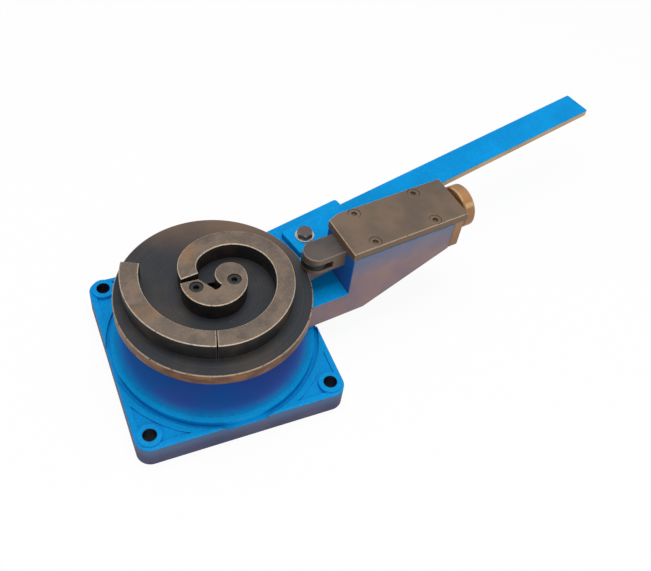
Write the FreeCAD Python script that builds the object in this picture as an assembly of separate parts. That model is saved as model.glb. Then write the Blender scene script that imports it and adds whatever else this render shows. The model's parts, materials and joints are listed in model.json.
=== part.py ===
"""Hand scroll bender: fixed spiral former on a cast base, and a swinging arm with a screw-fed roller slide.

Millimetres, +Z up. The origin is on the bench plane under the spindle. +X and +Y run along the base's sides.
The arm is drawn along +X about the spindle and then turned to its place.
"""

import math
import os

import FreeCAD
import Part

V = FreeCAD.Vector
UP = V(0, 0, 1)
OUT = V(1, 0, 0)

# Base casting
BASE_SIDE = 220.0
BASE_CORNER = 15.0
RIM_Z = 29.0
RIM_BEVEL = 1.5
PAD_RECESS = 2.5
PAD_RIM = 6.0
PLATFORM_R = 107.0
PLATFORM_Z = 34.0
PLATFORM_CHAMFER = 4.0
GROOVE_W = 5.0
GROOVE_DEPTH = 5.0
HOLE_PITCH = 190.0
HOLE_D = 14.0
BOSS_R = 12.2
BOSS_Z = 32.0
CAST_WALL = 9.0
CAST_TOP = 11.0
RIB_W = 7.0
RIB_COUNT = 8
HUB_FOOT_R = 42.0
HUB_FOOT_Z = 15.0

# Spindle and its fastenings
SPINDLE_R = 25.0
STEM_STEP = 10.0
STUD_STEP = 3.0
STUD_END_Z = 2.0
NUT_AF = 36.0
NUT_H = 10.0
SPINDLE_WASHER_R = 24.0
SPINDLE_WASHER_T = 2.5
DOWEL_R = 4.0
SPINDLE_DOWEL_R = 3.0
SPINDLE_DOWEL_EDGE = 4.5
SPINDLE_DOWEL_L = 20.0
SPIGOT_TO_SCREW = 6.8
SPIGOT_SINK = 7.0
FIT = 0.05

# Scroll plate
PLATE_R = 99.5
PLATE_Z = 90.0
PLATE_T = 13.0
PLATE_CHAMFER = 1.0

# Spiral former: a band of one width on four arcs, outer edge radii and arc centres
BAND_W = 18.5
FORMER_H = 21.0
OUTER_START_ANGLE = 155.5
JOIN_ANGLE = 255.0
JOIN_GAP = 1.5
OUTER_R = 91.5
OUTER_SHIFT = 11.5
MIDDLE_R = 80.0
MIDDLE_END_ANGLE = 355.0
INNER_SHIFT = 20.0
CURL_ANGLE = 125.0
CURL_R = 39.0
CURL_END_ANGLE = 189.0
FORMER_CHAMFER = 0.8

# Centre piece of the former
CENTRE_R = 33.0
HEAD_R = 15.5
HEAD_ANGLE = 5.2
TAIL_TOP_Y = 5.0
THROAT_ANGLE = 218.0
THROAT_FLOOR = (-2.3, -13.0)
THROAT_LIP_X = -14.7
THROAT_SAG = (0.8, -1.2)
CENTRE_SCREW_EDGE = 5.2
CENTRE_SCREW_ANGLES = (-17.0, 192.0)
M8_R = 4.0
M8_HEAD_R = 6.5
M8_HEAD_H = 8.0
M8_SOCKET_AF = 6.0
M8_CLEAR_R = 4.5
M8_BORE_R = 7.0
SOCKET_FLOOR = 0.4
CENTRE_SCREW_SINK = 1.0
CENTRE_SCREW_GRIP = 16.0
SEGMENT_DOWEL_L = 18.0
SEGMENT_DOWEL_SEAT = 8.0
DOWEL_CHAMFER = 0.8
DOWEL_DEPTH_GAP = 0.5
MIDDLE_DOWEL_ANGLES = (272.0, 340.0)
OUTER_DOWEL_ANGLES = (170.0, 240.0)

# Arm: frame direction and the centreline of its slide
ARM_ANGLE = 7.3
ARM_Y = -10.5
THRUST_T = 2.0
THRUST_R = 44.0
HUB_R = 48.0
BUSH_WALL = 5.0
WEB_Z = 38.0
SHELF_Z = 72.0
ARM_HALF = 29.5
HOUSING_X = 137.5
HOUSING_END_X = 265.0
HOUSING_FILLET = 2.0
WEB_INSET = 4.0
TAPER_X = 161.0
TAPER_END_Z = 88.0
ARM_WALL = 9.0
WEB_POCKET_X = (62.0, 118.0)
POCKET_RIB_X = 197.0
COVER_CUT = (13.0, 5.0)
PLATE_GAP = 2.5

# Slide, roller and channel
SLIDE_W = 28.0
SLIDE_H = 21.0
SLIDE_Z = 104.0
SLIDE_NOSE_X = 109.5
SLIDE_END_ROOM = 20.0
SLOT_Z = 108.6
SLOT_H = 8.8
SLOT_X = 122.5
ROLLER_X = 108.0
ROLLER_R = 13.5
ROLLER_H = 8.2
ROLLER_CHAMFER = 0.8
ROLLER_PIN_R = 5.0
ROLLER_BUSH_WALL = 2.5
ROLLER_PIN_TOP = 121.0
ROLLER_PIN_SINK = 0.3
NUT_R = 8.0
NUT_L = 24.0
SCREW_R = 6.0
SCREW_IN_SLIDE = 59.0
SCREW_RUN_OUT = 16.0
SCREW_BORE_GAP = 0.5
COLLAR_R = 9.0
COLLAR_T = 5.0
COLLAR_GAP = 0.3

# Cover, end plate and hand knob
COVER_T = 10.0
COVER_FRONT_LAP = 0.7
COVER_OVERHANG = 3.5
COVER_HALF = 29.0
COVER_SCREW_INSETS = (28.5, 24.0)
COVER_SCREW_Y = 21.5
COVER_HEAD_H = 5.0
COVER_SCREW_L = 22.0
COVER_SCREW_SINK = 0.5
END_T = 11.0
END_SCREW_R = 3.0
END_HEAD_R = 5.0
END_HEAD_H = 6.0
END_SOCKET_AF = 5.0
END_BORE_R = 5.5
END_SCREW_SINK = 0.5
END_SCREW_Z = (97.0, 116.0)
END_SCREW_L = 20.0
KNOB_R = 23.8
KNOB_GAP = 7.6
KNOB_T = 13.9
KNOB_HUB_R = 10.0
KNOB_CHAMFER = 1.5
KNOB_DISH_R = 19.0
KNOB_DISH = 1.5
KNOB_SPIGOT_STOP = 3.0
KNOB_PIN_R = 2.0
KNOB_PIN_SINK = 0.6

# Handle
BOLT_X = 119.8
BOLT_Y = 30.0
HANDLE_ANGLE = 7.5
HANDLE_W = 35.0
HANDLE_T = 8.0
HANDLE_Z = 94.0
HANDLE_TAIL = 18.0
HANDLE_REACH = 441.0
HANDLE_CHAMFER = 0.8
HANDLE_CORNER = 2.0
STOP_GAP = 0.3
PAD_SIDE = 31.7
PAD_END = 67.5
PAD_FOOT_Z = 56.0
PAD_FILLET = 3.0
SHOULDER_R = 8.0
BOLT_THREAD_R = 5.0
BOLT_THREAD_L = 24.0
BOLT_HEAD_AF = 15.0
BOLT_HEAD_H = 6.0
BOLT_CHAMFER = 1.0
WASHER_R = 10.2
WASHER_T = 1.5

# Levels and places that follow from the sizes above
PLATE_TOP = PLATE_Z + PLATE_T
FORMER_TOP = PLATE_TOP + FORMER_H
SLIDE_TOP = SLIDE_Z + SLIDE_H
COVER_Z = SLIDE_TOP + FIT
COVER_TOP = COVER_Z + COVER_T
SCREW_Z = SLIDE_Z + SLIDE_H / 2
HUB_Z = PLATFORM_Z + THRUST_T
HUB_TOP = PLATE_Z - THRUST_T
HANDLE_TOP = HANDLE_Z + HANDLE_T
STEM_R = SPINDLE_R - STEM_STEP
STUD_R = STEM_R - STUD_STEP
SPINDLE_DOWEL_OFFSET = SPINDLE_R - SPINDLE_DOWEL_EDGE
CENTRE_SCREW_R = SPINDLE_R - CENTRE_SCREW_EDGE
SPIGOT_R = CENTRE_SCREW_R - SPIGOT_TO_SCREW
END_FACE_X = HOUSING_END_X + END_T
SLIDE_END_X = HOUSING_END_X - SLIDE_END_ROOM
SCREW_START_X = SLIDE_END_X - SCREW_IN_SLIDE
COVER_X = (HOUSING_X - COVER_FRONT_LAP, END_FACE_X + COVER_OVERHANG)
COVER_SCREW_X = (HOUSING_X + COVER_SCREW_INSETS[0], HOUSING_END_X - COVER_SCREW_INSETS[1])
KNOB_X = (END_FACE_X + KNOB_GAP, END_FACE_X + KNOB_GAP + KNOB_T)
POCKETS_X = (
    WEB_POCKET_X,
    (HOUSING_X + ARM_WALL, POCKET_RIB_X),
    (POCKET_RIB_X + ARM_WALL, HOUSING_END_X - ARM_WALL),
)


def polar(radius, degrees, centre=(0.0, 0.0)):
    """Point at a radius and an angle from a centre."""
    turn = math.radians(degrees)
    return centre[0] + radius * math.cos(turn), centre[1] + radius * math.sin(turn)


def rod(radius, z0, z1, x=0.0, y=0.0):
    """Upright cylinder between two levels."""
    return Part.makeCylinder(radius, z1 - z0, V(x, y, z0), UP)


def lying_rod(radius, x0, x1, y, z):
    """Cylinder along +X between two stations."""
    return Part.makeCylinder(radius, x1 - x0, V(x0, y, z), OUT)


def ring(inner, outer, z0, z1, x=0.0, y=0.0):
    """Upright tube between two levels."""
    return rod(outer, z0, z1, x, y).cut(rod(inner, z0, z1, x, y))


def slab(x0, x1, y0, y1, z0, z1):
    """Block between two corners."""
    return Part.makeBox(x1 - x0, y1 - y0, z1 - z0, V(x0, y0, z0))


def prism(points, z0, z1):
    """Upright prism on a straight-sided outline."""
    corners = [V(x, y, z0) for x, y in points]
    outline = Part.makePolygon(corners + corners[:1])
    return Part.Face(outline).extrude(V(0, 0, z1 - z0))


def side_prism(points, y0, y1):
    """Prism across the arm on an outline of (x, z) points."""
    corners = [V(x, y0, z) for x, z in points]
    outline = Part.makePolygon(corners + corners[:1])
    return Part.Face(outline).extrude(V(0, y1 - y0, 0))


def turned(points):
    """Solid of revolution about Z from an outline of (radius, z) points."""
    corners = [V(r, 0, z) for r, z in points]
    outline = Part.makePolygon(corners + corners[:1])
    return Part.Face(outline).revolve(V(), UP, 360)


def rounded_square(side, corner, z):
    """Closed wire of a square with rounded corners."""
    half = side / 2
    inner = half - corner
    edges = []
    for quarter in range(4):
        start = 90 * quarter
        cx, cy = polar(inner * math.sqrt(2), start + 45)
        arc = Part.ArcOfCircle(
            Part.Circle(V(cx, cy, z), UP, corner), math.radians(start), math.radians(start + 90)
        )
        edges.append(arc.toShape())
        nx, ny = polar(inner * math.sqrt(2), start + 135)
        begin = V(*polar(corner, start + 90, (cx, cy)), z)
        end = V(*polar(corner, start + 90, (nx, ny)), z)
        edges.append(Part.LineSegment(begin, end).toShape())
    return Part.Wire(Part.__sortEdges__(edges))


def hexagon(across_flats, z0, z1, x=0.0, y=0.0):
    """Upright hexagonal prism."""
    reach = across_flats / math.sqrt(3)
    return prism([polar(reach, 60 * n, (x, y)) for n in range(6)], z0, z1)


def cap_screw(radius, head_radius, head_height, socket, under_head, length, x, y):
    """Upright socket-head screw with its head on top."""
    screw = rod(radius, under_head - length, under_head, x, y)
    head = rod(head_radius, under_head, under_head + head_height, x, y)
    recess = hexagon(socket, under_head + SOCKET_FLOOR * head_height, under_head + head_height, x, y)
    return screw.fuse(head).cut(recess).removeSplitter()


def level_edges(solid, z):
    """Edges that lie wholly at one level."""
    edges = []
    for edge in solid.Edges:
        box = edge.BoundBox
        if abs(box.ZMin - z) < 1e-6 and abs(box.ZMax - z) < 1e-6:
            edges.append(edge)
    return edges


def chamfer_top(solid, size, z):
    """Bevel every edge that lies wholly at one level."""
    return solid.makeChamfer(size, level_edges(solid, z))


def round_corners(solid, radius):
    """Fillet every edge that runs straight up a prism's full height."""
    height = solid.BoundBox.ZLength
    upright = [edge for edge in solid.Edges if edge.BoundBox.ZLength > height - FIT]
    return solid.makeFillet(radius, upright)


def circles(solid):
    """Full-circle edges of a plain cylinder."""
    return [edge for edge in solid.Edges if len(edge.Vertexes) == 1]


def on_arm(shape):
    """Turn a shape from the arm's own frame to its rest place."""
    placed = shape.copy()
    placed.rotate(V(), UP, ARM_ANGLE)
    return placed


def on_handle(shape):
    """Carry a shape from the handle's own frame, with its bolt at the origin, to its rest place."""
    placed = shape.copy()
    placed.rotate(V(), UP, HANDLE_ANGLE)
    placed.translate(V(BOLT_X, BOLT_Y, 0))
    return on_arm(placed)


def hole_places():
    """Centres of the four bench bolt holes."""
    half = HOLE_PITCH / 2
    return [(sx * half, sy * half) for sx in (-1, 1) for sy in (-1, 1)]


def base_casting():
    """Square cast foot with a round platform, recessed corner pads and a ribbed underside."""
    body = Part.Face(rounded_square(BASE_SIDE, BASE_CORNER, 0)).extrude(V(0, 0, RIM_Z))
    body = chamfer_top(body, RIM_BEVEL, RIM_Z)
    recess = Part.Face(rounded_square(BASE_SIDE - 2 * PAD_RIM, BASE_CORNER - PAD_RIM / 2, 0))
    recess = recess.extrude(V(0, 0, PAD_RECESS))
    recess.translate(V(0, 0, RIM_Z - PAD_RECESS))
    inner_rim = PLATFORM_R + GROOVE_W + PAD_RIM
    recess = recess.cut(rod(inner_rim, RIM_Z - PAD_RECESS, RIM_Z))
    body = body.cut(recess)
    groove = ring(PLATFORM_R, PLATFORM_R + GROOVE_W, RIM_Z - GROOVE_DEPTH, RIM_Z)
    body = body.cut(groove)
    step = PLATFORM_Z - PLATFORM_CHAMFER / 2
    platform = turned(
        [
            (0, RIM_Z - GROOVE_DEPTH),
            (PLATFORM_R, RIM_Z - GROOVE_DEPTH),
            (PLATFORM_R, step),
            (PLATFORM_R - PLATFORM_CHAMFER, PLATFORM_Z),
            (0, PLATFORM_Z),
        ]
    )
    body = body.fuse(platform)
    for x, y in hole_places():
        body = body.fuse(rod(BOSS_R, RIM_Z - GROOVE_DEPTH, BOSS_Z, x, y))
    cavity = Part.Face(rounded_square(BASE_SIDE - 2 * CAST_WALL, BASE_CORNER, 0))
    cavity = cavity.extrude(V(0, 0, RIM_Z - CAST_TOP))
    cavity = cavity.cut(rod(HUB_FOOT_R, 0, RIM_Z))
    for x, y in hole_places():
        cavity = cavity.cut(rod(BOSS_R, 0, RIM_Z, x, y))
    for n in range(RIB_COUNT):
        rib = slab(0, BASE_SIDE, -RIB_W / 2, RIB_W / 2, 0, RIM_Z)
        rib.rotate(V(), UP, 360.0 * n / RIB_COUNT)
        cavity = cavity.cut(rib)
    body = body.cut(cavity)
    body = body.cut(rod(HUB_FOOT_R - RIB_W, 0, HUB_FOOT_Z))
    body = body.cut(rod(STEM_R + FIT, HUB_FOOT_Z, PLATFORM_Z))
    for sign in (-1, 1):
        seat = PLATFORM_Z - SPINDLE_DOWEL_L / 2
        body = body.cut(rod(SPINDLE_DOWEL_R, seat, PLATFORM_Z, 0, sign * SPINDLE_DOWEL_OFFSET))
    for x, y in hole_places():
        body = body.cut(rod(HOLE_D / 2, 0, BOSS_Z, x, y))
    return body.removeSplitter()


def centre_screw_places():
    """Centres of the two screws in the former's centre piece."""
    return [polar(CENTRE_SCREW_R, angle) for angle in CENTRE_SCREW_ANGLES]


def spindle():
    """Fixed post that the arm turns on, with a stem through the base and a spigot for the plate."""
    post = turned(
        [
            (0, STUD_END_Z),
            (STUD_R, STUD_END_Z),
            (STUD_R, HUB_FOOT_Z),
            (STEM_R, HUB_FOOT_Z),
            (STEM_R, PLATFORM_Z),
            (SPINDLE_R, PLATFORM_Z),
            (SPINDLE_R, PLATE_Z),
            (SPIGOT_R, PLATE_Z),
            (SPIGOT_R, PLATE_TOP - SPIGOT_SINK),
            (0, PLATE_TOP - SPIGOT_SINK),
        ]
    )
    for x, y in centre_screw_places():
        post = post.cut(rod(M8_R, PLATE_Z - CENTRE_SCREW_GRIP, PLATE_Z, x, y))
    half = SPINDLE_DOWEL_L / 2
    for sign in (-1, 1):
        y = sign * SPINDLE_DOWEL_OFFSET
        post = post.cut(rod(SPINDLE_DOWEL_R, PLATFORM_Z, PLATFORM_Z + half, 0, y))
        post = post.cut(rod(SPINDLE_DOWEL_R, PLATE_Z - half, PLATE_Z, 0, y))
    return post


def spindle_dowels(level):
    """Pair of dowels across one joint face of the spindle."""
    half = SPINDLE_DOWEL_L / 2
    pins = []
    for sign in (-1, 1):
        pins.append(rod(SPINDLE_DOWEL_R, level - half, level + half, 0, sign * SPINDLE_DOWEL_OFFSET))
    return Part.makeCompound(pins)


def spindle_washer():
    """Washer under the base's centre boss."""
    return ring(STUD_R + FIT, SPINDLE_WASHER_R, HUB_FOOT_Z - SPINDLE_WASHER_T, HUB_FOOT_Z)


def spindle_nut():
    """Thin nut that pulls the spindle down on the base."""
    top = HUB_FOOT_Z - SPINDLE_WASHER_T
    return hexagon(NUT_AF, top - NUT_H, top).cut(rod(STUD_R, 0, top))


def outer_centre():
    """Centre of the outer segment's arcs, which meet the middle segment's at the join."""
    return polar(-OUTER_SHIFT, JOIN_ANGLE)


def inner_centre():
    """Centre of the middle segment's second pair of arcs."""
    return polar(INNER_SHIFT, MIDDLE_END_ANGLE)


def curl_centre():
    """Centre of the middle segment's tightest pair of arcs."""
    turn_r = MIDDLE_R - INNER_SHIFT
    return polar(turn_r - CURL_R, CURL_ANGLE, inner_centre())


def band(runs):
    """Solid of the former's band along arcs, each with a centre, an outer radius and two angles."""
    outer = []
    inner = []
    for centre, radius, start, end in runs:
        place = V(centre[0], centre[1], PLATE_TOP)
        a0 = math.radians(start)
        a1 = math.radians(end)
        outer.append(Part.ArcOfCircle(Part.Circle(place, UP, radius), a0, a1).toShape())
        inner.append(Part.ArcOfCircle(Part.Circle(place, UP, radius - BAND_W), a0, a1).toShape())
    ends = []
    for centre, radius, angle in (
        (runs[0][0], runs[0][1], runs[0][2]),
        (runs[-1][0], runs[-1][1], runs[-1][3]),
    ):
        far = V(*polar(radius, angle, centre), PLATE_TOP)
        near = V(*polar(radius - BAND_W, angle, centre), PLATE_TOP)
        ends.append(Part.LineSegment(far, near).toShape())
    wire = Part.Wire(Part.__sortEdges__(outer + inner + ends))
    solid = Part.Face(wire).extrude(V(0, 0, FORMER_H))
    return chamfer_top(solid, FORMER_CHAMFER, FORMER_TOP)


def dowel_place(angle):
    """Mid-band point of the former at an angle round the spindle."""
    if angle < JOIN_ANGLE:
        return polar(OUTER_R - BAND_W / 2, angle, outer_centre())
    return polar(MIDDLE_R - BAND_W / 2, angle)


def bored_for_dowels(segment, angles):
    """Cut a segment's blind dowel holes from below."""
    top = PLATE_TOP - SEGMENT_DOWEL_SEAT + SEGMENT_DOWEL_L
    for angle in angles:
        x, y = dowel_place(angle)
        segment = segment.cut(rod(DOWEL_R, PLATE_TOP, top, x, y))
    return segment


def segment_dowels(angles):
    """Locating dowels that stand down from one segment into the plate."""
    z0 = PLATE_TOP - SEGMENT_DOWEL_SEAT
    pins = []
    for angle in angles:
        x, y = dowel_place(angle)
        pin = rod(DOWEL_R, z0, z0 + SEGMENT_DOWEL_L, x, y)
        pins.append(pin.makeChamfer(DOWEL_CHAMFER, level_edges(pin, z0)))
    return Part.makeCompound(pins)


def scroll_outer_segment():
    """Outermost stretch of the spiral former."""
    gap = math.degrees(JOIN_GAP / OUTER_R)
    segment = band([(outer_centre(), OUTER_R, OUTER_START_ANGLE, JOIN_ANGLE - gap)])
    return bored_for_dowels(segment, OUTER_DOWEL_ANGLES)


def scroll_middle_segment():
    """Middle stretch of the spiral former, which curls in to the centre piece."""
    turn_r = MIDDLE_R - INNER_SHIFT
    segment = band(
        [
            ((0.0, 0.0), MIDDLE_R, JOIN_ANGLE, MIDDLE_END_ANGLE),
            (inner_centre(), turn_r, MIDDLE_END_ANGLE, 360.0 + CURL_ANGLE),
            (curl_centre(), CURL_R, CURL_ANGLE, CURL_END_ANGLE),
        ]
    )
    return bored_for_dowels(segment, MIDDLE_DOWEL_ANGLES)


def arc(centre, radius, start, end, z):
    """Edge of a level arc, counter-clockwise between two angles."""
    circle = Part.Circle(V(centre[0], centre[1], z), UP, radius)
    return Part.ArcOfCircle(circle, math.radians(start), math.radians(end)).toShape()


def scroll_centre():
    """Comma-shaped centre of the former, with the throat that grips the end of the stock."""
    z = PLATE_TOP
    head = polar(CENTRE_R - HEAD_R, HEAD_ANGLE)
    tail_angle = 180 - math.degrees(math.asin(TAIL_TOP_Y / CENTRE_R))
    tail_tip = V(*polar(CENTRE_R, tail_angle), z)
    lip = V(THROAT_LIP_X, TAIL_TOP_Y, z)
    floor = V(*THROAT_FLOOR, z)
    notch = V(*polar(HEAD_R, THROAT_ANGLE, head), z)
    sag = (floor + notch) * 0.5 + V(*THROAT_SAG, 0)
    edges = [
        arc((0, 0), CENTRE_R, tail_angle, 360 + HEAD_ANGLE, z),
        arc(head, HEAD_R, HEAD_ANGLE, THROAT_ANGLE, z),
        Part.Arc(notch, sag, floor).toShape(),
        Part.LineSegment(floor, lip).toShape(),
        Part.LineSegment(lip, tail_tip).toShape(),
    ]
    body = Part.Face(Part.Wire(Part.__sortEdges__(edges))).extrude(V(0, 0, FORMER_H))
    rims = [edge for edge in level_edges(body, FORMER_TOP) if edge.Length > HEAD_R]
    body = body.makeChamfer(FORMER_CHAMFER, rims)
    for x, y in centre_screw_places():
        body = body.cut(rod(M8_CLEAR_R, PLATE_TOP, FORMER_TOP, x, y))
        body = body.cut(rod(M8_BORE_R, FORMER_TOP - M8_HEAD_H - CENTRE_SCREW_SINK, FORMER_TOP, x, y))
    return body


def centre_screws():
    """Two socket screws through the centre piece and the plate into the spindle."""
    under = FORMER_TOP - M8_HEAD_H - CENTRE_SCREW_SINK
    length = under - PLATE_Z + CENTRE_SCREW_GRIP
    screws = []
    for x, y in centre_screw_places():
        screws.append(cap_screw(M8_R, M8_HEAD_R, M8_HEAD_H, M8_SOCKET_AF, under, length, x, y))
    return Part.makeCompound(screws)


def scroll_plate():
    """Round plate that carries the former and is dowelled to the spindle."""
    plate = rod(PLATE_R, PLATE_Z, PLATE_TOP)
    plate = chamfer_top(plate, PLATE_CHAMFER, PLATE_TOP)
    plate = plate.cut(rod(SPIGOT_R + FIT, PLATE_Z, PLATE_TOP))
    for x, y in centre_screw_places():
        plate = plate.cut(rod(M8_CLEAR_R, PLATE_Z, PLATE_TOP, x, y))
    for sign in (-1, 1):
        top = PLATE_Z + SPINDLE_DOWEL_L / 2
        plate = plate.cut(rod(SPINDLE_DOWEL_R, PLATE_Z, top, 0, sign * SPINDLE_DOWEL_OFFSET))
    seat = PLATE_TOP - SEGMENT_DOWEL_SEAT - DOWEL_DEPTH_GAP
    for angle in MIDDLE_DOWEL_ANGLES + OUTER_DOWEL_ANGLES:
        x, y = dowel_place(angle)
        plate = plate.cut(rod(DOWEL_R + FIT, seat, PLATE_TOP, x, y))
    return plate


def thrust_washer(z0):
    """Flat washer that the arm's hub turns against."""
    return ring(SPINDLE_R + FIT, THRUST_R, z0, z0 + THRUST_T)


def hub_bush():
    """Bronze bush pressed in the arm's hub."""
    return ring(SPINDLE_R + FIT, SPINDLE_R + BUSH_WALL, HUB_Z, HUB_TOP)


def housing_outline(half, x0, x1):
    """Plan of the housing or its cover, with the corner by the handle cut off."""
    low = ARM_Y - half
    high = ARM_Y + half
    return [(x0, low), (x1, low), (x1, high), (x0 + COVER_CUT[0], high), (x0, high - COVER_CUT[1])]


def handle_pad():
    """Raised pad beside the housing that the lever lies on, hollowed to clear the plate's rim."""
    pad = slab(-BOLT_X, PAD_END, -HANDLE_W, PAD_SIDE, PAD_FOOT_Z, HANDLE_Z)
    pad = round_corners(pad, PAD_FILLET)
    pad.rotate(V(), UP, HANDLE_ANGLE)
    pad.translate(V(BOLT_X, BOLT_Y, 0))
    return pad.cut(rod(PLATE_R + PLATE_GAP, SHELF_Z, HANDLE_Z)).cut(rod(HUB_R, PAD_FOOT_Z, SHELF_Z))


def arm_taper():
    """Space under the arm that rises from the web to the end plate."""
    rise = TAPER_END_Z - WEB_Z
    below = WEB_Z - FORMER_H
    outline = [(TAPER_X, WEB_Z), (HOUSING_END_X, WEB_Z + rise), (HOUSING_END_X, below), (TAPER_X, below)]
    return side_prism(outline, -HUB_R - ARM_HALF, HUB_R + ARM_HALF)


def arm_pockets():
    """Cored pockets in the arm's underside, with cross ribs between them."""
    low = ARM_Y - ARM_HALF + ARM_WALL
    high = ARM_Y + ARM_HALF - ARM_WALL
    pockets = []
    for x0, x1 in POCKETS_X:
        roof = SLIDE_Z if x0 > HOUSING_X else SHELF_Z
        pocket = slab(x0, x1, low, high, WEB_Z, roof - ARM_WALL)
        pockets.append(round_corners(pocket, PAD_FILLET))
    return pockets


def arm_casting():
    """Arm with its hub under the plate, its handle pad and its channelled housing."""
    near = ARM_Y - ARM_HALF
    far = ARM_Y + ARM_HALF
    hub = rod(HUB_R, HUB_Z, HUB_TOP)
    sides = [(0, near), (HOUSING_END_X, near), (HOUSING_END_X, far), (0, HUB_R - WEB_INSET)]
    body = hub.fuse(prism(sides, WEB_Z, SHELF_Z))
    body = body.fuse(handle_pad())
    housing = prism(housing_outline(ARM_HALF, HOUSING_X, HOUSING_END_X), SHELF_Z, COVER_Z)
    body = body.fuse(round_corners(housing, HOUSING_FILLET))
    body = body.cut(arm_taper())
    for pocket in arm_pockets():
        body = body.cut(pocket)
    half = SLIDE_W / 2 + FIT
    channel = slab(HOUSING_X, HOUSING_END_X, ARM_Y - half, ARM_Y + half, SLIDE_Z - FIT, COVER_Z)
    body = body.cut(channel)
    relief = slab(-HANDLE_TAIL, HANDLE_REACH, -HANDLE_W / 2 - STOP_GAP, HANDLE_W, HANDLE_Z, HANDLE_TOP + 1)
    relief.rotate(V(), UP, HANDLE_ANGLE)
    relief.translate(V(BOLT_X, BOLT_Y, 0))
    body = body.cut(relief)
    body = body.cut(rod(SPINDLE_R + BUSH_WALL, HUB_Z, HUB_TOP))
    body = body.cut(rod(BOLT_THREAD_R, HANDLE_Z - BOLT_THREAD_L, HANDLE_Z, BOLT_X, BOLT_Y))
    grip = COVER_SCREW_L - (COVER_T - COVER_HEAD_H - COVER_SCREW_SINK)
    for x, y in cover_screw_places():
        body = body.cut(rod(M8_R, COVER_Z - grip, COVER_Z, x, y))
    for y, z in end_screw_places():
        body = body.cut(lying_rod(END_SCREW_R, end_screw_seat() - END_SCREW_L, HOUSING_END_X, y, z))
    return body.removeSplitter()


def cover_screw_places():
    """Centres of the four screws in the cover."""
    return [(x, ARM_Y + side * COVER_SCREW_Y) for x in COVER_SCREW_X for side in (-1, 1)]


def end_screw_places():
    """Centres of the four screws in the end plate, as (y, z)."""
    return [(ARM_Y + side * COVER_SCREW_Y, z) for side in (-1, 1) for z in END_SCREW_Z]


def end_screw_seat():
    """Level along the arm of the faces that the end plate's screw heads bear on."""
    return END_FACE_X - END_HEAD_H - END_SCREW_SINK


def cover_plate():
    """Flat cover over the slide's channel, with counterbored screw holes."""
    plate = prism(housing_outline(COVER_HALF, *COVER_X), COVER_Z, COVER_TOP)
    plate = chamfer_top(plate, FORMER_CHAMFER, COVER_TOP)
    for x, y in cover_screw_places():
        plate = plate.cut(rod(M8_CLEAR_R, COVER_Z, COVER_TOP, x, y))
        plate = plate.cut(rod(M8_BORE_R, COVER_TOP - COVER_HEAD_H - COVER_SCREW_SINK, COVER_TOP, x, y))
    return plate


def cover_screws():
    """Four low-head socket screws, sunk just under the cover's face."""
    under = COVER_TOP - COVER_HEAD_H - COVER_SCREW_SINK
    screws = []
    for x, y in cover_screw_places():
        screws.append(cap_screw(M8_R, M8_HEAD_R, COVER_HEAD_H, M8_SOCKET_AF, under, COVER_SCREW_L, x, y))
    return Part.makeCompound(screws)


def end_plate():
    """Plate that closes the channel and carries the feed screw."""
    x1 = END_FACE_X
    plate = slab(HOUSING_END_X, x1, ARM_Y - COVER_HALF, ARM_Y + COVER_HALF, TAPER_END_Z, COVER_Z)
    edges = [e for e in plate.Edges if abs(e.BoundBox.XMin - x1) < 1e-6 and e.BoundBox.ZMax < COVER_Z - 1]
    plate = plate.makeChamfer(FORMER_CHAMFER, edges)
    plate = plate.cut(lying_rod(SCREW_R + FIT, HOUSING_END_X, x1, ARM_Y, SCREW_Z))
    for y, z in end_screw_places():
        plate = plate.cut(lying_rod(END_SCREW_R, HOUSING_END_X, x1, y, z))
        plate = plate.cut(lying_rod(END_BORE_R, end_screw_seat(), x1, y, z))
    return plate


def end_plate_screws():
    """Four socket screws that hold the end plate."""
    screws = []
    for y, z in end_screw_places():
        screw = cap_screw(END_SCREW_R, END_HEAD_R, END_HEAD_H, END_SOCKET_AF, 0, END_SCREW_L, 0, 0)
        screw.rotate(V(), V(0, 1, 0), 90)
        screw.translate(V(end_screw_seat(), y, z))
        screws.append(screw)
    return Part.makeCompound(screws)


def slide_bar():
    """Square-section slide with a round forked nose for the roller and a bore for the feed screw."""
    half = SLIDE_W / 2
    bar = slab(SLIDE_NOSE_X, SLIDE_END_X, ARM_Y - half, ARM_Y + half, SLIDE_Z, SLIDE_TOP)
    bar = bar.fuse(rod(half, SLIDE_Z, SLIDE_TOP, SLIDE_NOSE_X, ARM_Y)).removeSplitter()
    bar = chamfer_top(bar, FORMER_CHAMFER, SLIDE_TOP)
    nose = SLIDE_NOSE_X - half
    bar = bar.cut(slab(nose - 1, SLOT_X, ARM_Y - half, ARM_Y + half, SLOT_Z, SLOT_Z + SLOT_H))
    bar = bar.cut(rod(ROLLER_PIN_R, SLIDE_Z, ROLLER_PIN_TOP, ROLLER_X, ARM_Y))
    bar = bar.cut(lying_rod(SCREW_R + SCREW_BORE_GAP, SCREW_START_X - SCREW_RUN_OUT, SLIDE_END_X, ARM_Y, SCREW_Z))
    return bar.cut(lying_rod(NUT_R, SLIDE_END_X - NUT_L, SLIDE_END_X, ARM_Y, SCREW_Z))


def roller_pin():
    """Fixed pin that the roller turns on."""
    return rod(ROLLER_PIN_R, SLIDE_Z + ROLLER_PIN_SINK, ROLLER_PIN_TOP, ROLLER_X, ARM_Y)


def roller():
    """Hardened forming roller."""
    z0 = SLOT_Z + (SLOT_H - ROLLER_H) / 2
    z1 = z0 + ROLLER_H
    wheel = rod(ROLLER_R, z0, z1, ROLLER_X, ARM_Y)
    wheel = wheel.makeChamfer(ROLLER_CHAMFER, circles(wheel))
    return wheel.cut(rod(ROLLER_PIN_R + ROLLER_BUSH_WALL, z0, z1, ROLLER_X, ARM_Y))


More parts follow.
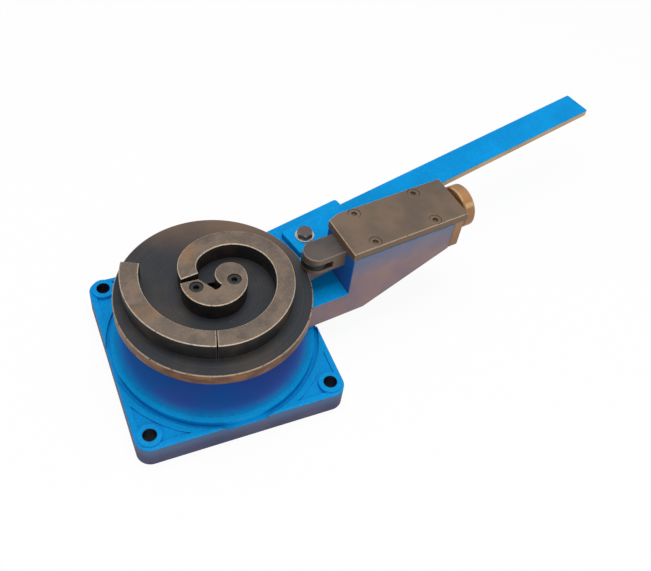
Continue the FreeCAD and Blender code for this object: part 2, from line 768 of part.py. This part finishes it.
def roller_bush():
    """Bronze bush pressed in the roller."""
    z0 = SLOT_Z + (SLOT_H - ROLLER_H) / 2
    outer = ROLLER_PIN_R + ROLLER_BUSH_WALL
    return ring(ROLLER_PIN_R + FIT, outer, z0, z0 + ROLLER_H, ROLLER_X, ARM_Y)


def feed_nut():
    """Bronze nut fixed in the slide's tail."""
    nut = lying_rod(NUT_R, SLIDE_END_X - NUT_L, SLIDE_END_X, ARM_Y, SCREW_Z)
    return nut.cut(lying_rod(SCREW_R + FIT, SLIDE_END_X - NUT_L, SLIDE_END_X, ARM_Y, SCREW_Z))


def feed_screw():
    """Feed screw with its thrust collar."""
    collar_x = HOUSING_END_X - COLLAR_GAP
    screw = lying_rod(SCREW_R, SCREW_START_X, KNOB_X[1] - KNOB_SPIGOT_STOP, ARM_Y, SCREW_Z)
    collar = lying_rod(COLLAR_R, collar_x - COLLAR_T, collar_x, ARM_Y, SCREW_Z)
    return screw.fuse(collar).cut(cross_pin(KNOB_HUB_R)).removeSplitter()


def cross_pin(reach):
    """Upright cylinder of the pin's radius across the knob's hub, reaching equally above and below."""
    x = (END_FACE_X + KNOB_X[0]) / 2
    return rod(KNOB_PIN_R, SCREW_Z - reach, SCREW_Z + reach, x, ARM_Y)


def knob_pin():
    """Cross pin that locks the knob to the screw, its ends sunk in the hub."""
    return cross_pin(KNOB_HUB_R - KNOB_PIN_SINK)


def hand_knob():
    """Round hand knob with a dished face and a hub that bears on the end plate."""
    x0 = END_FACE_X + COLLAR_GAP
    rim = lying_rod(KNOB_R, *KNOB_X, ARM_Y, SCREW_Z)
    rim = rim.makeChamfer(KNOB_CHAMFER, circles(rim))
    dish = lying_rod(KNOB_DISH_R, KNOB_X[1] - KNOB_DISH, KNOB_X[1], ARM_Y, SCREW_Z)
    knob = rim.cut(dish).fuse(lying_rod(KNOB_HUB_R, x0, KNOB_X[0] + 1, ARM_Y, SCREW_Z))
    knob = knob.cut(lying_rod(SCREW_R, x0, KNOB_X[1] - KNOB_SPIGOT_STOP, ARM_Y, SCREW_Z))
    return knob.cut(cross_pin(KNOB_HUB_R + 1)).removeSplitter()


def handle_bar():
    """Flat lever that pivots on its bolt at the arm's pad."""
    half = HANDLE_W / 2
    bar = slab(-HANDLE_TAIL, HANDLE_REACH, -half, half, HANDLE_Z, HANDLE_TOP)
    bar = round_corners(bar, HANDLE_CORNER)
    bar = chamfer_top(bar, HANDLE_CHAMFER, HANDLE_TOP)
    return bar.cut(rod(SHOULDER_R + FIT, HANDLE_Z, HANDLE_TOP))


def handle_washer():
    """Washer between the bolt's head and the lever."""
    return ring(BOLT_THREAD_R + FIT, WASHER_R, HANDLE_TOP + FIT, HANDLE_TOP + FIT + WASHER_T)


def handle_bolt():
    """Shoulder bolt with a hexagon head that the lever turns on."""
    shoulder_top = HANDLE_TOP + FIT
    head_z = shoulder_top + WASHER_T
    bolt = rod(BOLT_THREAD_R, HANDLE_Z - BOLT_THREAD_L, head_z)
    bolt = bolt.fuse(rod(SHOULDER_R, HANDLE_Z, shoulder_top))
    head_top = head_z + BOLT_HEAD_H
    crown = chamfer_top(rod(BOLT_HEAD_AF / math.sqrt(3), head_z, head_top), BOLT_CHAMFER, head_top)
    return bolt.fuse(hexagon(BOLT_HEAD_AF, head_z, head_top).common(crown)).removeSplitter()


NODES = {
    "base_casting": base_casting(),
    "spindle": spindle(),
    "spindle_base_dowels": spindle_dowels(PLATFORM_Z),
    "spindle_plate_dowels": spindle_dowels(PLATE_Z),
    "spindle_washer": spindle_washer(),
    "spindle_nut": spindle_nut(),
    "scroll_plate": scroll_plate(),
    "scroll_centre": scroll_centre(),
    "centre_screws": centre_screws(),
    "scroll_middle_segment": scroll_middle_segment(),
    "middle_segment_dowels": segment_dowels(MIDDLE_DOWEL_ANGLES),
    "scroll_outer_segment": scroll_outer_segment(),
    "outer_segment_dowels": segment_dowels(OUTER_DOWEL_ANGLES),
    "lower_thrust_washer": thrust_washer(PLATFORM_Z),
    "upper_thrust_washer": thrust_washer(HUB_TOP),
    "hub_bush": hub_bush(),
    "arm_casting": on_arm(arm_casting()),
    "cover_plate": on_arm(cover_plate()),
    "cover_screws": on_arm(cover_screws()),
    "end_plate": on_arm(end_plate()),
    "end_plate_screws": on_arm(end_plate_screws()),
    "slide_bar": on_arm(slide_bar()),
    "feed_nut": on_arm(feed_nut()),
    "roller_pin": on_arm(roller_pin()),
    "roller": on_arm(roller()),
    "roller_bush": on_arm(roller_bush()),
    "feed_screw": on_arm(feed_screw()),
    "hand_knob": on_arm(hand_knob()),
    "knob_pin": on_arm(knob_pin()),
    "handle_bar": on_handle(handle_bar()),
    "handle_washer": on_handle(handle_washer()),
    "handle_bolt": on_handle(handle_bolt()),
}

os.makedirs("parts", exist_ok=True)
for name, shape in NODES.items():
    shape.exportStep(f"parts/{name}.step")
    print(name, len(shape.Solids), round(shape.Volume), shape.isValid())
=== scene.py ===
"""Studio view of the hand scroll bender: finishes of its cast, turned and ground pieces, light and camera."""

import json
import math

import bmesh
import bpy
from mathutils import Matrix, Vector


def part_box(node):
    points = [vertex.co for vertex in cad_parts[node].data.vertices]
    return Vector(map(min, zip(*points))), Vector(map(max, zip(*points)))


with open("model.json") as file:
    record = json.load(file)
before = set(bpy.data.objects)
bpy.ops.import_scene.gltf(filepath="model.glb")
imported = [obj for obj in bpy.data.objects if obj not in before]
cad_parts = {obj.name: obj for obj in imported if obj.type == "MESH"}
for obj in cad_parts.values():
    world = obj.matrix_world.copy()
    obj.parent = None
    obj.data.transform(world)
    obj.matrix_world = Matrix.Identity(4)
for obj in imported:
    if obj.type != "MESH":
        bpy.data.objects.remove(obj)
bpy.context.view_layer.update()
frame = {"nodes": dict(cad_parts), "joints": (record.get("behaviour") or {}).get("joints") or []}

NODES = frame["nodes"]
MM = 0.001

# Directions and sizes taken from the frame
SLIDE_JOINT = next(joint for joint in frame["joints"] if joint["name"] == "slide_feed")
ALONG_ARM = -Vector(SLIDE_JOINT["axis"]).normalized()
ACROSS_ARM = Vector((-ALONG_ARM.y, ALONG_ARM.x, 0))
BASE_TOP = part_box("base_casting")[1].z
BASE_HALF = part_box("base_casting")[1].x
PLATE_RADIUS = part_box("scroll_plate")[1].x

# Sizes that the frame doesn't give, as in the part's source
BENCH_HOLE = BASE_HALF - 15 * MM
BENCH_HOLE_LIMITS = (7.2 * MM, 7.6 * MM)
CORNER_LIMITS = (13.4 * MM, 14.0 * MM)
PLATFORM_RADIUS = BASE_HALF - 3 * MM
HUB_RADIUS = 48 * MM
# Where the painted warm reflection on the lever's edges begins, along the arm
LEVER_REFLECTION_FROM = (118 * MM, 124 * MM)

# Levels between which the painted warm reflection on the flanks turns bluer, and the side of the plate that
# carries a painted brown reflection
BASE_REFLECTION_FADE = (8 * MM, 26 * MM)
ARM_REFLECTION_FADE = (84 * MM, 126 * MM)
BROWN_REFLECTION_SIDE = Vector((0.45, 0.89, 0))

# Patterns, in lumps or lines to the metre
ENAMEL_PATCHES = 22.0
ENAMEL_SPECKS = 420.0
ENAMEL_SKIN = 900.0
CAST_LUMPS = 160.0
DARKENING_PATCHES = 11.0
BARE_PATCHES = 18.0
EDGE_HIGHLIGHT_PATCHES = 60.0
PLATE_PATCHES = 14.0
PLATE_SPECKS = 240.0
TURNED_RINGS = 900.0
RIM_MOTTLE = 60.0
FORMER_PATCHES = 40.0
FORMER_SPECKS = 380.0
FORMER_SMUDGES = 70.0
RUST_PATCHES = 26.0
STEEL_PATCHES = 24.0
STEEL_SPECKS = 420.0
GRINDING_LINES = 2600.0

# Edges and relief
ENAMEL_ROUNDING = 1.0 * MM
ENAMEL_HIGHLIGHT_EDGE = 1.2 * MM
ENAMEL_RELIEF = 0.15 * MM
STEEL_ROUNDING = 0.6 * MM
STEEL_RELIEF = 0.03 * MM
FORMER_RELIEF = 0.05 * MM
BEVEL_LEAN = math.sqrt(0.5)

# Tones of the painted warm reflection on each blue piece's flanks: two that alternate and one of its specks
BASE_REFLECTION_TONES = ("454A66", "5A5870", "4A628C")
ARM_REFLECTION_TONES = ("80707C", "9A8078", "74708C")
LEVER_REFLECTION_TONES = ("B89870", "D2B28A", "9A8878")

# Camera, solved from the base's square, its bolt holes and the round plate
PHOTO_WIDTH = 651
FOCAL_PIXELS = 858
SENSOR = 36.0
VIEW_TURN = math.radians(-29.67)
VIEW_HEIGHT = math.radians(50.64)
VIEW_ROLL = math.radians(9.38)
VIEW_DISTANCE = 1.009
VIEW_TARGET = Vector((0.152, 0.0476, 0))

# Light: each lamp's name, place, target, size, power and colour
LAMPS = (
    ("key", (0.1, 0.1, 1.8), (0.1, 0, 0), 1.0, 19.0, (1, 1, 1)),
    ("fill", (-0.2, -1.3, 0.7), (0.1, 0, 0.05), 1.0, 5.0, (1, 0.93, 0.86)),
)
SKY_STRENGTH = 0.45
WHITE = (1, 1, 1, 1)
FLOOR_SIZE = 12.0
FLOOR_GLOW = 0.93


def shade(code):
    """Linear colour from a screen colour's six-digit code."""
    parts = [int(code[i : i + 2], 16) / 255 for i in (0, 2, 4)]
    linear = [p / 12.92 if p <= 0.04045 else ((p + 0.055) / 1.055) ** 2.4 for p in parts]
    return (*linear, 1.0)


class Wire:
    """Output socket of a finish's node, on which arithmetic adds Math nodes."""

    def __init__(self, finish, socket):
        self.finish = finish
        self.socket = socket

    def math(self, operation, a, b=0.0, clamp=False):
        return self.finish.node("Math", {"operation": operation, "use_clamp": clamp}, {0: a, 1: b})

    def __add__(self, other):
        return self.math("ADD", self, other)

    def __radd__(self, other):
        return self.math("ADD", other, self)

    def __sub__(self, other):
        return self.math("SUBTRACT", self, other)

    def __rsub__(self, other):
        return self.math("SUBTRACT", other, self)

    def __mul__(self, other):
        return self.math("MULTIPLY", self, other)

    def clamped(self):
        """Kept between 0 and 1."""
        return self.math("ADD", self, 0.0, clamp=True)

    def over(self, low, high):
        """0 below low, 1 above high, and smooth between them."""
        settings = {"interpolation_type": "SMOOTHSTEP"}
        return self.finish.node("MapRange", settings, {"Value": self, "From Min": low, "From Max": high})

    def size(self):
        """Distance from zero."""
        return self.math("ABSOLUTE", self)


class Finish:
    """A material under construction, with the patterns that several finishes share."""

    def __init__(self, name):
        self.material = bpy.data.materials.new(name)
        self.material.use_nodes = True
        self.tree = self.material.node_tree
        self.shader = self.tree.nodes["Principled BSDF"]
        self.place = self.node("TexCoord", out="Object")
        self.facing = self.node("TexCoord", out="Normal")

    def node(self, kind, settings=None, sockets=None, out=0):
        """Add a node, set it up, feed its sockets and return one of its outputs."""
        node = self.tree.nodes.new("ShaderNode" + kind)
        for name, value in (settings or {}).items():
            setattr(node, name, value)
        for name, value in (sockets or {}).items():
            self.feed(node.inputs[name], value)
        return Wire(self, node.outputs[out])

    def feed(self, socket, value):
        """Link a wire to a socket, or set the socket's own value."""
        if isinstance(value, Wire):
            self.tree.links.new(value.socket, socket)
        else:
            socket.default_value = value

    def surface(self, colour, rough, normal, **plain):
        """Feed the shader with what varies, and set its plain sockets, named with underscores for spaces."""
        self.feed(self.shader.inputs["Base Color"], colour)
        self.feed(self.shader.inputs["Roughness"], rough)
        self.feed(self.shader.inputs["Normal"], normal)
        for name, value in plain.items():
            self.shader.inputs[name.replace("_", " ")].default_value = value

    def vector(self, operation, *values, out=0):
        """Vector Math node."""
        return self.node("VectorMath", {"operation": operation}, dict(enumerate(values)), out)

    def part(self, vector, axis):
        """One component of a vector."""
        return self.node("SeparateXYZ", sockets={0: vector}, out=axis)

    def along(self, vector, direction):
        """Length of a vector along a fixed direction."""
        return self.vector("DOT_PRODUCT", vector, direction, out="Value")

    def flat_length(self, vector):
        """Length of a vector seen from above."""
        return self.vector("LENGTH", self.vector("MULTIPLY", vector, (1, 1, 0)), out="Value")

    def mix(self, factor, first, second):
        """Colour that goes from the first to the second as the factor goes from 0 to 1.

        A colour is a wire or a six-digit code.
        """
        first, second = (shade(tone) if isinstance(tone, str) else tone for tone in (first, second))
        return self.node("Mix", {"data_type": "RGBA"}, {0: factor, 6: first, 7: second}, 2)

    def cloud(self, per_metre, detail=4.0, rough=0.55, stretch=None):
        """Soft noise with this many lumps to the metre."""
        place = self.vector("MULTIPLY", self.place, stretch) if stretch else self.place
        sockets = {"Vector": place, "Scale": per_metre, "Detail": detail, "Roughness": rough}
        return self.node("TexNoise", None, sockets)

    def lines(self, distance, per_metre, detail):
        """Noise that changes only with a distance, so that it draws lines or rings."""
        sockets = {"W": distance, "Scale": per_metre, "Detail": detail}
        return self.node("TexNoise", {"noise_dimensions": "1D"}, sockets)

    def upright(self):
        """1 on walls and 0 on level faces."""
        return 1 - self.part(self.facing, "Z").size()

    def rounded(self, radius):
        """Normal that rounds the solid's edges."""
        return self.node("Bevel", {"samples": 8}, {"Radius": radius})

    def edge(self, radius, sharpness=6.0):
        """1 along edges and 0 on open faces."""
        plain = self.node("NewGeometry", out="Normal")
        turn = self.along(plain, self.rounded(radius))
        return ((1 - turn) * sharpness).clamped()

    def bevelled(self):
        """1 on the 45 degree bevels round upward faces."""
        lean = self.part(self.facing, "Z") - BEVEL_LEAN
        return 1 - lean.size().over(0.04, 0.12)

    def worn_and_highlit(self, specks, edge_share):
        """1 where a steel piece's bevels are rubbed bright and carry a painted highlight, less on its other
        edges, and broken by specks.
        """
        return (self.bevelled() + self.edge(STEEL_ROUNDING) * edge_share) * specks.over(0.3, 0.5)

    def bump(self, height, depth, normal):
        """Normal of a surface whose relief follows a height, with depth in metres."""
        sockets = {"Height": height, "Distance": depth, "Strength": 1.0, "Normal": normal}
        return self.node("Bump", None, sockets)

    def put_on(self, *names):
        """Put this finish on CAD nodes."""
        for name in names:
            for slot in NODES[name].material_slots:
                slot.material = self.material


def enamel(name, flank, flank_limits, reflection_tones, darker_paint_and_shade=None, painted_shade=None, reflection_fade=None):
    """Blue enamel whose flanks carry a painted warm reflection in place of the blue.

    Flank and the two darkening masks are masks for a finish: the first darkening is darker paint partly
    painted as shade, the second is near-black painted shade. The painted warm reflection is three tones.
    The last argument gives the two levels between which the painted reflection on the flanks turns bluer.
    """
    finish = Finish(name)
    broad = finish.cloud(ENAMEL_PATCHES, 3.0)
    fine = finish.cloud(ENAMEL_SPECKS, 6.0, 0.65)
    # Mask of the painted warm reflection on the flanks, which stands in for warm light reflected off the blue
    # paint
    flank_reflection = (flank(finish) + (broad - 0.5) * 0.1).over(*flank_limits)

    blue = finish.mix(broad.over(0.35, 0.65), "0088CE", "0092DA")
    blue = finish.mix(fine.over(0.48, 0.7) * 0.45, blue, "12AEF0")
    if darker_paint_and_shade:
        # Darker violet blue: on the platform partly darker paint and partly painted shade, on the housing's
        # front painted shade
        darkened_tone = finish.mix(finish.cloud(DARKENING_PATCHES).over(0.35, 0.65), "2C72D2", "4664C6")
        blue = finish.mix(darker_paint_and_shade(finish) * (0.8 + fine * 0.25), blue, darkened_tone)
    if painted_shade:
        # Near-black blue painted as shade in the bench holes and on the housing's front
        blue = finish.mix(painted_shade(finish), blue, "0B1730")

    low, high, speck = reflection_tones
    # Tones of the painted warm reflection on the flanks
    warm_reflection = finish.mix(finish.cloud(BARE_PATCHES).over(0.3, 0.72), low, high)
    warm_reflection = finish.mix(fine.over(0.5, 0.8) * 0.35, warm_reflection, speck)
    if reflection_fade:
        # The painted warm reflection on the flanks turns bluer towards the top
        fade_share = finish.part(finish.place, "Z").over(*reflection_fade) * (0.35 + broad * 0.4)
        warm_reflection = finish.mix(fade_share, warm_reflection, "56779E")

    paint = finish.mix(flank_reflection, blue, warm_reflection)
    # Lighter blue along the edges: painted highlight
    edge_highlight = finish.edge(ENAMEL_HIGHLIGHT_EDGE) * finish.cloud(EDGE_HIGHLIGHT_PATCHES).over(0.3, 0.6)
    paint = finish.mix(edge_highlight * 0.5, paint, "3AAEEE")
    rough = 0.42 + fine * 0.16 + flank_reflection * 0.08
    skin = finish.cloud(ENAMEL_SKIN, 3.0) * 0.5 + finish.cloud(CAST_LUMPS)
    normal = finish.bump(skin, ENAMEL_RELIEF, finish.rounded(ENAMEL_ROUNDING))
    finish.surface(paint, rough, normal, Specular_IOR_Level=0.06)
    return finish


def base_flank(finish):
    """1 on the base's outer wall, corners included, which carries the painted warm reflection."""
    past = finish.vector("SUBTRACT", finish.vector("ABSOLUTE", finish.place), (BENCH_HOLE, BENCH_HOLE, 1))
    reach = finish.vector("LENGTH", finish.vector("MAXIMUM", past, (0, 0, 0)), out="Value")
    return reach.over(*CORNER_LIMITS) * finish.upright()


def platform_face(finish):
    """1 on the middle of the round platform's flat face, which is darker paint and partly painted shade under
    the plate.
    """
    inside = 1 - finish.flat_length(finish.place).over(PLATFORM_RADIUS - 16 * MM, PLATFORM_RADIUS - 3 * MM)
    return inside * finish.part(finish.place, "Z").over(BASE_TOP - 1 * MM, BASE_TOP - 0.4 * MM)


def bench_bores(finish):
    """1 on the walls of the four bench holes, darkened as painted shade."""
    past = finish.vector("SUBTRACT", finish.vector("ABSOLUTE", finish.place), (BENCH_HOLE, BENCH_HOLE, 0))
    return 1 - finish.flat_length(past).over(*BENCH_HOLE_LIMITS)


def arm_flank(finish):
    """How far a point faces sideways off the arm, past its round hub; the painted warm reflection follows it.
    """
    clear = finish.flat_length(finish.place).over(HUB_RADIUS + 0.5 * MM, HUB_RADIUS + 4 * MM)
    return finish.along(finish.facing, ACROSS_ARM).size() * clear


def housing_front(finish):
    """The housing's end that faces the former, darkened as painted shade."""
    return finish.along(finish.facing, -ALONG_ARM).over(0.5, 0.8) * 0.85


def housing_deeper_shade(finish):
    """Deeper painted shade on that same end."""
    return housing_front(finish) * 0.55


def lever_flank(finish):
    """1 on the lever's edges, past its bolted end, which carry the painted warm reflection."""
    return finish.upright() * finish.along(finish.place, ALONG_ARM).over(*LEVER_REFLECTION_FROM)


def plate_finish():
    """Turned plate: nearly black with a painted brown reflection on its far side, turning rings, a bright rim
    that is rubbed bright and painted highlight, and a painted warm orange reflection on its wall.
    """
    finish = Finish("turned_plate")
    broad = finish.cloud(PLATE_PATCHES)
    fine = finish.cloud(PLATE_SPECKS, 6.0, 0.65)
    radius = finish.flat_length(finish.place)
    rings = finish.lines(radius, TURNED_RINGS, 3.0)
    top = finish.mix(broad.over(0.42, 0.62), "1F2329", "342F2D")
    # Painted brown reflection on the plate's far side
    far = finish.along(finish.place, BROWN_REFLECTION_SIDE).over(0.3 * PLATE_RADIUS, PLATE_RADIUS)
    top = finish.mix(far * (0.3 + broad), top, "6A5546")
    top = finish.mix(rings.over(0.5, 0.75) * 0.16, top, "5E5852")
    top = finish.mix(fine.over(0.62, 0.75) * 0.3, top, "6E655D")
    # Painted warm orange reflection on the plate's upright rim
    mottle = finish.cloud(RIM_MOTTLE, 5.0, stretch=(1, 1, 3)).over(0.35, 0.65)
    wall = finish.mix(mottle, "583C28", "805532")
    outer = finish.upright().over(0.5, 0.95) * radius.over(0.9 * PLATE_RADIUS, 0.95 * PLATE_RADIUS)
    colour = finish.mix(outer, top, wall)
    # Bevels and edges rubbed bright, with a painted highlight
    colour = finish.mix(finish.worn_and_highlit(fine, 0.5) * 0.7, colour, "B49E86")
    normal = finish.bump(rings * 0.5 + fine, STEEL_RELIEF, finish.rounded(STEEL_ROUNDING))
    finish.surface(colour, 0.42 + fine * 0.2, normal, Metallic=0.3, Specular_IOR_Level=0.35)
    return finish


def former_finish():
    """Tool steel former: mottled brown tops with rust, walls painted near-black as shade, and bright edges
    that are rubbed bright and painted highlight.
    """
    finish = Finish("former_steel")
    broad = finish.cloud(FORMER_PATCHES, 5.0, 0.6)
    fine = finish.cloud(FORMER_SPECKS, 6.0, 0.7)
    top = finish.mix(broad.over(0.38, 0.64), "574B42", "6C5B4D")
    top = finish.mix(fine.over(0.5, 0.72) * 0.45, top, "8F7C69")
    top = finish.mix(finish.cloud(FORMER_SMUDGES, 5.0, 0.65).over(0.5, 0.68) * 0.55, top, "443C33")
    top = finish.mix(finish.cloud(RUST_PATCHES, 3.0).over(0.54, 0.7) * 0.6, top, "835F3A")
    # Walls painted near-black as shade
    wall = finish.mix(broad.over(0.4, 0.7), "18191B", "3A302A")
    colour = finish.mix(finish.upright().over(0.5, 0.9), top, wall)
    # Bevels and edges rubbed bright, with a painted highlight
    colour = finish.mix(finish.worn_and_highlit(fine, 0.4) * 0.75, colour, "CDBEA8")
    normal = finish.bump(fine + broad * 0.5, FORMER_RELIEF, finish.rounded(STEEL_ROUNDING))
    finish.surface(colour, 0.42 + fine * 0.25, normal, Metallic=0.35)
    return finish


def ground_steel(name, dark, light, edge, metallic=0.35, rough=0.4, side=None):
    """Ground steel and bronze in two tones, with fine marks along the arm, an edge colour and perhaps a
    painted warm reflection on the upright sides.
    """
    finish = Finish(name)
    broad = finish.cloud(STEEL_PATCHES)
    fine = finish.cloud(STEEL_SPECKS, 6.0, 0.7)
    marks = finish.lines(finish.along(finish.place, ACROSS_ARM), GRINDING_LINES, 2.0)
    colour = finish.mix(broad.over(0.36, 0.66), dark, light)
    colour = finish.mix(fine.over(0.6, 0.78) * 0.3, colour, edge)
    if side:
        # Painted warm reflection on the upright sides
        colour = finish.mix(finish.upright().over(0.6, 0.9) * 0.8, colour, side)
    # Bevels and edges rubbed bright, with a painted highlight
    colour = finish.mix(finish.worn_and_highlit(fine, 0.5) * 0.7, colour, edge)
    normal = finish.bump(marks * 0.4 + fine, STEEL_RELIEF, finish.rounded(STEEL_ROUNDING))
    finish.surface(colour, rough + fine * 0.2, normal, Metallic=metallic)
    return finish


def dress_frame():
    """Give every CAD node its finish."""
    base_masks = (platform_face, bench_bores, BASE_REFLECTION_FADE)
    arm_masks = (housing_front, housing_deeper_shade, ARM_REFLECTION_FADE)
    enamel("cast_enamel_base", base_flank, (0.45, 0.8), BASE_REFLECTION_TONES, *base_masks).put_on("base_casting")
    enamel("cast_enamel_arm", arm_flank, (0.6, 0.85), ARM_REFLECTION_TONES, *arm_masks).put_on("arm_casting")
    enamel("lever_enamel", lever_flank, (0.5, 0.8), LEVER_REFLECTION_TONES).put_on("handle_bar")
    plate_finish().put_on("scroll_plate")
    former_finish().put_on("scroll_centre", "scroll_middle_segment", "scroll_outer_segment")
    ground_steel("slide_steel", "3C3738", "514741", "857A70", side="75604E").put_on("slide_bar", "feed_screw")
    cover = ground_steel("cover_steel", "56483D", "695747", "B8A086", side="6C533F")
    cover.put_on("cover_plate", "cover_screws")
    # Dark steel coloured orange-brown as painted warm light on the knob and end plate
    ground_steel("knob_steel", "88603E", "A0764C", "CEA87C", rough=0.42).put_on("hand_knob", "end_plate")
    bright = ground_steel("bright_washer", "A39C92", "C9C1B4", "EAE2D4", 0.6, 0.3)
    bright.put_on("handle_washer", "spindle_washer")
    ground_steel("bolt_head", "4C4443", "5E5452", "9C8E88", 0.4).put_on("handle_bolt")
    bronze = ground_steel("bearing_bronze", "8A5A2C", "B27C42", "D6A468", 0.9, 0.3)
    bronze.put_on("hub_bush", "lower_thrust_washer", "upper_thrust_washer", "roller_bush", "feed_nut")
    black = ground_steel("black_fasteners", "0E0E0F", "1C1A19", "3E3A36", 0.3, 0.5)
    black.put_on("spindle", "spindle_nut", "spindle_base_dowels", "spindle_plate_dowels")
    black.put_on("centre_screws", "middle_segment_dowels", "outer_segment_dowels")
    black.put_on("end_plate_screws", "roller", "roller_pin", "knob_pin")


def area_light(name, place, target, size, power, colour):
    """Square soft lamp aimed at a point."""
    lamp = bpy.data.lights.new(name, "AREA")
    lamp.size = size
    lamp.energy = power
    lamp.color = colour
    holder = bpy.data.objects.new(name, lamp)
    holder.location = place
    holder.rotation_euler = (Vector(target) - Vector(place)).to_track_quat("-Z", "Y").to_euler()
    bpy.context.scene.collection.objects.link(holder)


def seen_rays(tree):
    """Socket that is 1 for rays that show the background: from the camera, mirrored or passed through."""
    rays = tree.nodes.new("ShaderNodeLightPath")
    total = rays.outputs["Is Camera Ray"]
    for name in ("Is Glossy Ray", "Is Transmission Ray"):
        add = tree.nodes.new("ShaderNodeMath")
        add.operation = "MAXIMUM"
        tree.links.new(total, add.inputs[0])
        tree.links.new(rays.outputs[name], add.inputs[1])
        total = add.outputs[0]
    return total


def sky():
    """Plain white world: full white where it is seen, softer as light."""
    world = bpy.data.worlds.new("studio")
    world.use_nodes = True
    tree = world.node_tree
    light = tree.nodes["Background"]
    light.inputs["Color"].default_value = WHITE
    light.inputs["Strength"].default_value = SKY_STRENGTH
    backdrop = tree.nodes.new("ShaderNodeBackground")
    backdrop.inputs["Color"].default_value = WHITE
    mix = tree.nodes.new("ShaderNodeMixShader")
    tree.links.new(seen_rays(tree), mix.inputs[0])
    tree.links.new(light.outputs[0], mix.inputs[1])
    tree.links.new(backdrop.outputs[0], mix.inputs[2])
    tree.links.new(mix.outputs[0], tree.nodes["World Output"].inputs["Surface"])
    bpy.context.scene.world = world


def floor():
    """Pale floor that keeps a soft shadow."""
    shell = bmesh.new()
    bmesh.ops.create_grid(shell, x_segments=2, y_segments=2, size=FLOOR_SIZE / 2)
    mesh = bpy.data.meshes.new("floor")
    shell.to_mesh(mesh)
    shell.free()
    plane = bpy.data.objects.new("floor", mesh)
    bpy.context.scene.collection.objects.link(plane)
    material = bpy.data.materials.new("pale_floor")
    material.use_nodes = True
    tree = material.node_tree
    shader = tree.nodes["Principled BSDF"]
    shader.inputs["Base Color"].default_value = shade("F2F2F2")
    shader.inputs["Roughness"].default_value = 0.9
    glow = tree.nodes.new("ShaderNodeEmission")
    mix = tree.nodes.new("ShaderNodeMixShader")
    scale = tree.nodes.new("ShaderNodeMath")
    scale.operation = "MULTIPLY"
    scale.inputs[1].default_value = FLOOR_GLOW
    tree.links.new(seen_rays(tree), scale.inputs[0])
    tree.links.new(scale.outputs[0], mix.inputs[0])
    tree.links.new(shader.outputs[0], mix.inputs[1])
    tree.links.new(glow.outputs[0], mix.inputs[2])
    tree.links.new(mix.outputs[0], tree.nodes["Material Output"].inputs["Surface"])
    mesh.materials.append(material)


def camera():
    """Camera at the photograph's place."""
    level = Vector((math.sin(VIEW_TURN), -math.cos(VIEW_TURN), 0))
    back = level * math.cos(VIEW_HEIGHT) + Vector((0, 0, math.sin(VIEW_HEIGHT)))
    right = Vector((math.cos(VIEW_TURN), math.sin(VIEW_TURN), 0))
    up = right.cross(-back)
    turned_right = right * math.cos(VIEW_ROLL) + up * math.sin(VIEW_ROLL)
    turned_up = up * math.cos(VIEW_ROLL) - right * math.sin(VIEW_ROLL)
    lens = bpy.data.cameras.new("camera")
    lens.sensor_fit = "HORIZONTAL"
    lens.sensor_width = SENSOR
    lens.lens = FOCAL_PIXELS / PHOTO_WIDTH * SENSOR
    lens.clip_end = 100
    eye = bpy.data.objects.new("camera", lens)
    axes = Matrix((turned_right, turned_up, back)).transposed().to_4x4()
    eye.matrix_world = Matrix.Translation(VIEW_TARGET + back * VIEW_DISTANCE) @ axes
    bpy.context.scene.collection.objects.link(eye)
    bpy.context.scene.camera = eye


camera()
dress_frame()
sky()
floor()
for lamp in LAMPS:
    area_light(*lamp)
bpy.context.scene.view_settings.view_transform = "Standard"
